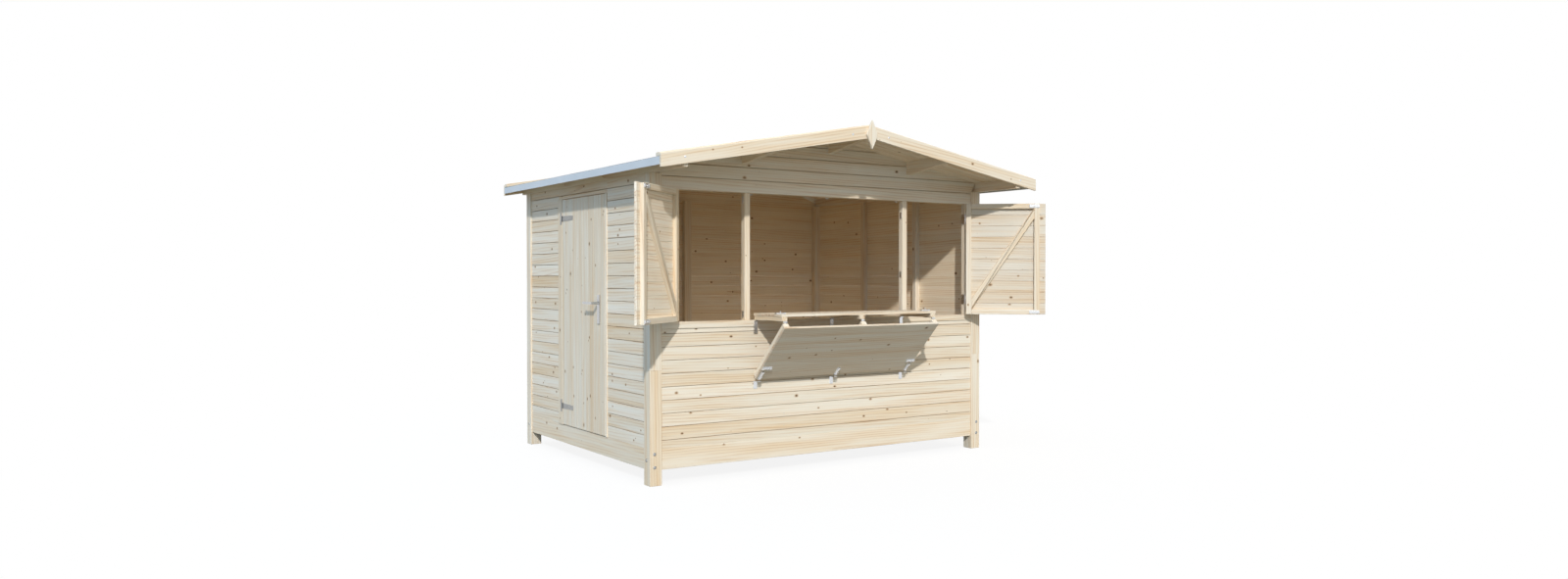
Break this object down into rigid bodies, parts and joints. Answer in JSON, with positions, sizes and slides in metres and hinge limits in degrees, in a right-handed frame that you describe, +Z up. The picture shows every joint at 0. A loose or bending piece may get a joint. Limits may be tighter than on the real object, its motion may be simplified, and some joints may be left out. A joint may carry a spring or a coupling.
{
  "type": "wooden market stall",
  "caption": "Wooden market stall on corner posts with a low gable roof, boarded walls, side door, side-hung shutters and a counter shutter that folds out over the sill.",
  "frame": {"origin": "on the ground, at the middle of the stall's reach in plan, with both shutters at rest", "axes": "+X to the right along the serving front, +Y from the front to the back, +Z up"},
  "size_m": [3.6316, 2.909, 2.5052],
  "materials": {
    "frame_timber": "planed, untreated spruce",
    "wall_boards": "planed, untreated spruce boards",
    "floor_boards": "planed spruce boards",
    "roof_boards": "planed spruce boards",
    "trim_timber": "planed spruce",
    "roof_felt": "bitumen felt with fine mineral grit",
    "eave_metal": "coated sheet, satin",
    "zinc_steel": "zinc plated",
    "handle_metal": "brushed",
    "door_boards": "planed, untreated spruce boards",
    "shutter_boards": "planed, untreated spruce boards",
    "counter_boards": "planed, untreated spruce boards"
  },
  "bodies": {
    "cabin": {"corner_posts_lower": "frame_timber", "corner_posts_upper": "frame_timber", "base_beams": "frame_timber", "floor_joists": "frame_timber", "counter_sill": "frame_timber", "front_jambs": "frame_timber", "front_mullions": "frame_timber", "front_lintel": "frame_timber", "door_posts": "frame_timber", "wall_studs": "frame_timber", "ridge_purlin": "frame_timber", "mid_purlins": "frame_timber", "wall_plates": "frame_timber", "floor": "floor_boards", "front_wall": "wall_boards", "front_gable": "wall_boards", "left_wall_front": "wall_boards", "left_wall_back": "wall_boards", "left_wall_over_door": "wall_boards", "right_wall": "wall_boards", "back_wall": "wall_boards", "roof_deck_left": "roof_boards", "roof_deck_right": "roof_boards", "roof_laths": "trim_timber", "front_bargeboards": "trim_timber", "back_bargeboards": "trim_timber", "finials": "trim_timber", "roof_felt_left": "roof_felt", "roof_felt_right": "roof_felt", "eave_trims": "eave_metal", "shutter_hinge_plates": "zinc_steel", "counter_hinge_plates": "zinc_steel", "door_hinge_plates": "zinc_steel", "brace_catches": "zinc_steel"},
    "door": {"door_leaf": "door_boards", "door_ledges": "door_boards", "door_braces": "door_boards", "door_hinge_straps": "zinc_steel", "handle_plates": "handle_metal"},
    "lever": {"door_lever": "handle_metal"},
    "left_shutter": {"left_shutter_boards": "shutter_boards", "left_shutter_frame": "shutter_boards", "left_shutter_fittings": "zinc_steel"},
    "right_shutter": {"right_shutter_boards": "shutter_boards", "right_shutter_frame": "shutter_boards", "right_shutter_fittings": "zinc_steel"},
    "counter": {"counter_top": "counter_boards", "counter_battens": "counter_boards", "counter_fittings": "zinc_steel"},
    "brace": {"brace_boards": "counter_boards", "brace_battens": "counter_boards", "brace_fittings": "zinc_steel"}
  },
  "joints": [
    {"name": "door_swing", "type": "hinge", "parent": "cabin", "child": "door", "pos_m": [-1.506, 0.5495, 1.125], "axis": [0, 0, -1], "range_deg": [0, 165]},
    {"name": "lever_turn", "type": "hinge", "parent": "door", "child": "lever", "pos_m": [-1.506, -0.1485, 1.21], "axis": [-1, 0, 0], "range_deg": [0, 40], "stiffness_Nm_per_rad": 1.5, "springref_deg": -20.05},
    {"name": "left_shutter_swing", "type": "hinge", "parent": "cabin", "child": "left_shutter", "pos_m": [-1.336, -0.9745, 1.544], "axis": [0, 0, -1], "range_deg": [-140, 30]},
    {"name": "right_shutter_swing", "type": "hinge", "parent": "cabin", "child": "right_shutter", "pos_m": [1.336, -0.9745, 1.544], "axis": [0, 0, 1], "range_deg": [-140, 30]},
    {"name": "counter_fold", "type": "hinge", "parent": "cabin", "child": "counter", "pos_m": [0, -0.9745, 1.091], "axis": [1, 0, 0], "range_deg": [-90, 0]},
    {"name": "brace_fold", "type": "hinge", "parent": "counter", "child": "brace", "pos_m": [0, -1.3415, 1.091], "axis": [1, 0, 0], "range_deg": [-135, 0]}
  ]
}
